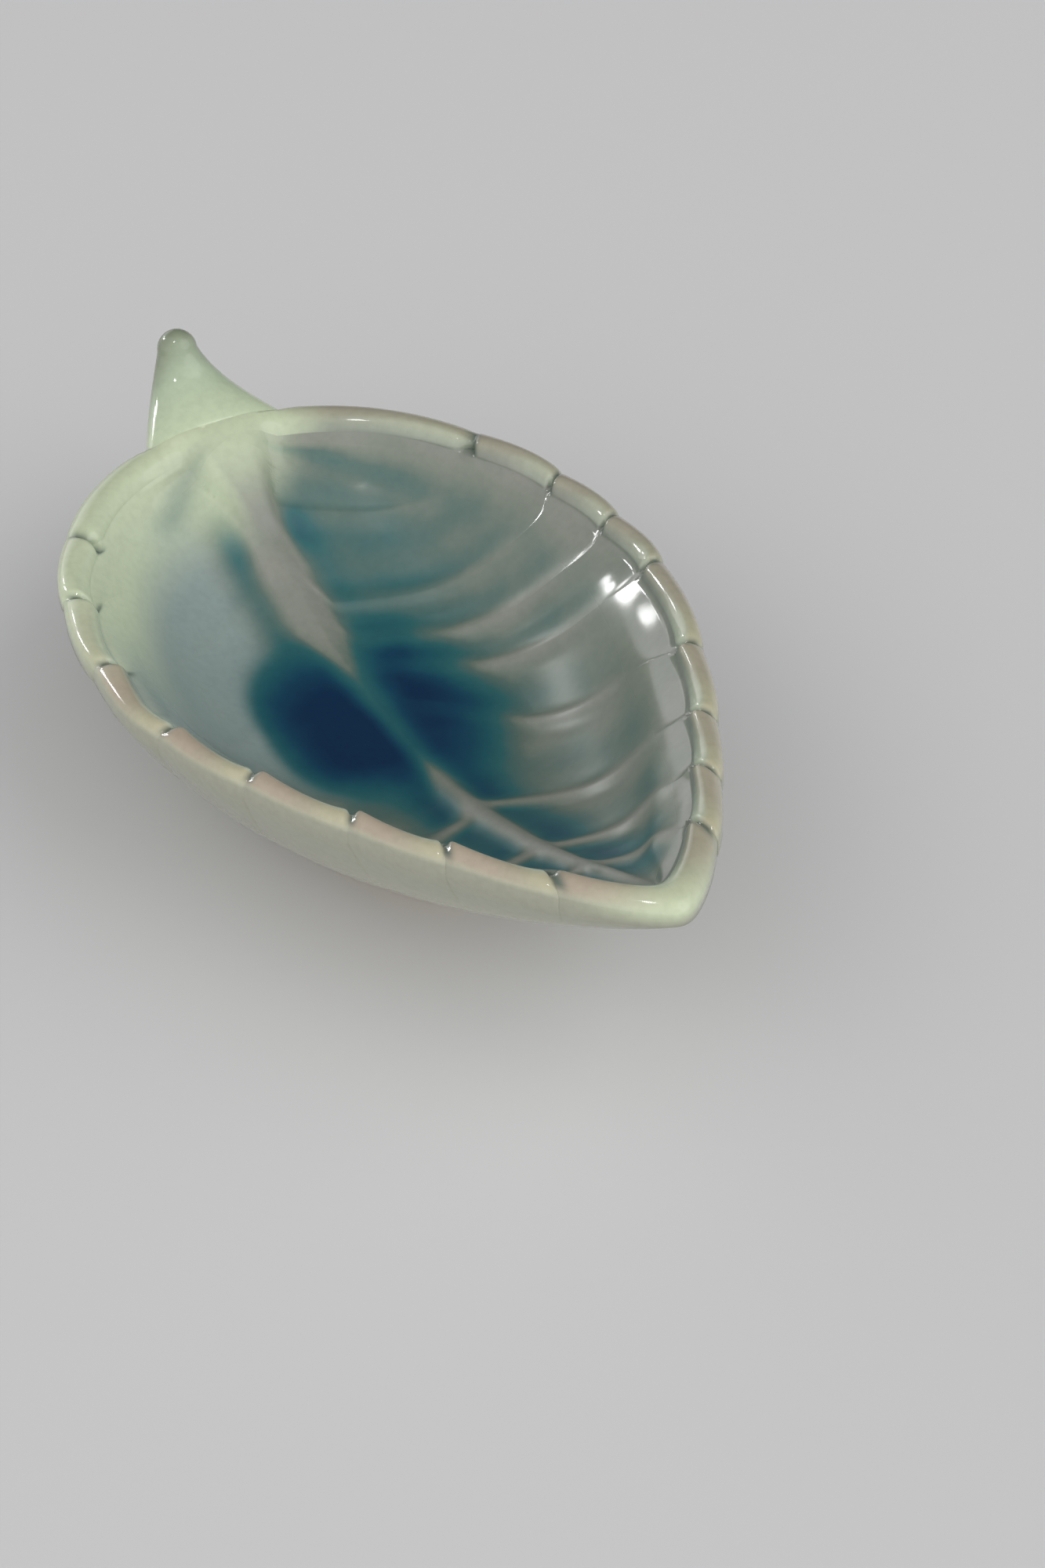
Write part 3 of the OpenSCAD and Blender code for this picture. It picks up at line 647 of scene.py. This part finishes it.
# Among the layers, the one below the lip is painted shade, and the pale tint is partly painted light.
GLASS_LAYERS = [("milk", "#95a6a4", 0.75), ("cream", "#beb99b", 0.8), ("brown", "#b0a190", 0.8),
                ("lip_edge", "#bdc8b3", 0.85), ("outside", "#adae9a", 0.95), ("shade_below_lip", "#8f9183", 0.6),
                ("pale_and_lit", "#c6d2b2", 0.85), ("notch", "#5a695f", 0.95)]
glaze = celadon_glaze("celadon_glaze", GLASS_STOPS, GLASS_LAYERS)
stem_glaze = celadon_glaze("pale_celadon_glaze", [(0.0, "#a6b59c"), (1.0, "#a6b59c")],
                           [("stem_end", "#7d8570", 0.9), ("lit_stem_root", "#c3d0b1", 1.0)])


# %% Bare stoneware
def bare_stoneware(name):
    """Unglazed fired clay: warm buff, matt, with fine sandy grain."""
    material, tree = new_material(name)
    place = add(tree, "ShaderNodeTexCoord").outputs["Object"]
    sand = add(tree, "ShaderNodeTexNoise", inputs={"Vector": place, "Scale": 1500.0, "Detail": 5.0})
    colour = ramp(tree, sand.outputs["Fac"], [(0.3, "#9c8768"), (0.7, "#c4b192")])
    bump = add(tree, "ShaderNodeBump", inputs={"Height": sand.outputs["Fac"], "Strength": 0.4, "Distance": 0.0002})
    shader = add(tree, "ShaderNodeBsdfPrincipled", inputs={
        "Base Color": colour.outputs["Color"], "Roughness": 0.85, "Normal": bump.outputs["Normal"]})
    add(tree, "ShaderNodeOutputMaterial", inputs={"Surface": shader.outputs["BSDF"]})
    return material


for piece in (bowl, pool_left, pool_right):
    piece.data.materials.append(glaze)
stem.data.materials.append(stem_glaze)
foot = bpy.data.objects["foot_ring"]
foot.data.materials.clear()
foot.data.materials.append(bare_stoneware("bare_stoneware"))

# %% [markdown]
# The dish stands on a plain pale table in an even, bright room. The room is darker on the side behind the dish,
# which the level glass mirrors, so the pools stay deep blue. It glows low on the left, where the band near the
# tip looks. A large soft light hangs on the right and a weaker one, which no gloss mirrors, fills the near side.
# Three small windows on the left give the points of light on the far wall and the lip, and one overhead gives the
# one at the tip. They show in the gloss alone, so they cast no shadow. The camera looks down at 39 degrees.

# %% Table and camera
FLOOR_SIZE = 3.0
VIEW_TURN, VIEW_DOWN = math.radians(28.85), math.radians(39.0)
VIEW_DISTANCE = 0.42692
VIEW_TARGET = Vector((0.00332, 0.01194, 0.0))
LENS, FILM_HEIGHT = 93.13, 36.0

table_mesh = bpy.data.meshes.new("table")
half = FLOOR_SIZE / 2
table_mesh.from_pydata([(-half, -half, 0), (half, -half, 0), (half, half, 0), (-half, half, 0)], [], [(0, 1, 2, 3)])
table = bpy.data.objects.new("table", table_mesh)
bpy.context.scene.collection.objects.link(table)
table_material, table_tree = new_material("table_paint")
table_shader = add(table_tree, "ShaderNodeBsdfPrincipled", inputs={"Base Color": linear("#cfcfd0"), "Roughness": 0.7})
add(table_tree, "ShaderNodeOutputMaterial", inputs={"Surface": table_shader.outputs["BSDF"]})
table_mesh.materials.append(table_material)

camera_data = bpy.data.cameras.new("camera")
camera_data.sensor_fit = "VERTICAL"
camera_data.sensor_height = FILM_HEIGHT
camera_data.lens = LENS
camera_data.clip_start, camera_data.clip_end = 0.01, 20.0
camera = bpy.data.objects.new("camera", camera_data)
back = Vector((math.cos(VIEW_TURN) * math.cos(VIEW_DOWN), -math.sin(VIEW_TURN) * math.cos(VIEW_DOWN),
               math.sin(VIEW_DOWN)))
right = Vector((math.sin(VIEW_TURN), math.cos(VIEW_TURN), 0.0))
up = back.cross(right)
turned = Matrix((right, up, back)).transposed().to_4x4()
camera.matrix_world = Matrix.Translation(VIEW_TARGET + back * VIEW_DISTANCE) @ turned
bpy.context.scene.collection.objects.link(camera)
bpy.context.scene.camera = camera
bpy.context.scene.view_settings.view_transform = "Standard"


# %% Light
def toward(azimuth, elevation):
    """Unit vector at an azimuth from +X and an elevation, in degrees."""
    a, e = math.radians(azimuth), math.radians(elevation)
    return Vector((math.cos(a) * math.cos(e), math.sin(a) * math.cos(e), math.sin(e)))


def area_light(name, azimuth, elevation, distance, size, power, shape="DISK"):
    """Soft light in a direction from the dish, facing it."""
    light = bpy.data.lights.new(name, "AREA")
    light.shape, light.size, light.energy = shape, size, power
    lamp = bpy.data.objects.new(name, light)
    lamp.location = toward(azimuth, elevation) * distance
    lamp.rotation_euler = (-lamp.location).to_track_quat("-Z", "Y").to_euler()
    bpy.context.scene.collection.objects.link(lamp)
    return lamp


area_light("softbox", 45, 40, 1.6, 1.8, 8.0)
area_light("fill", -75, 35, 1.6, 1.4, 4.0).visible_glossy = False
for number, (azimuth, elevation, size, power) in enumerate([(-157, 17, 0.13, 1.2), (-152, 22, 0.13, 0.8),
                                                             (-166, 15, 0.1, 0.3), (-75, 70, 0.12, 0.9)]):
    area_light("window_%d" % number, azimuth, elevation, 1.2, size, power).visible_diffuse = False

world = bpy.data.worlds.new("studio")
bpy.context.scene.world = world
world.use_nodes = True
room = world.node_tree
room.nodes.clear()
sight = add(room, "ShaderNodeTexCoord").outputs["Generated"]
behind = add(room, "ShaderNodeVectorMath", {"operation": "DOT_PRODUCT"}, {0: sight, 1: toward(151, 36)})
turn = add(room, "ShaderNodeMath", {"operation": "MULTIPLY_ADD"}, {0: behind.outputs["Value"], 1: 0.5, 2: 0.5})
shade = ramp(room, turn.outputs[0], [(0.2, "#ffffff"), (0.5, "#dfdede"), (0.8, "#b9b9b9"), (0.95, "#303236")])
beside = add(room, "ShaderNodeVectorMath", {"operation": "DOT_PRODUCT"}, {0: sight, 1: toward(-175, 6)})
glow = ramp(room, beside.outputs["Value"], [(0.8, "#000000"), (0.9, "#202122"), (1.0, "#f4f9ff")])
glow_power = add(room, "ShaderNodeMath", {"operation": "MULTIPLY"}, {0: glow.outputs["Color"], 1: 0.9})
bright = add(room, "ShaderNodeMix", {"data_type": "RGBA", "blend_type": "ADD"},
             {0: glow_power.outputs[0], 6: shade.outputs["Color"], 7: linear("#ffffff")})
background = add(room, "ShaderNodeBackground", inputs={"Color": bright.outputs[2], "Strength": 1.3})
add(room, "ShaderNodeOutputWorld", inputs={"Surface": background.outputs["Background"]})
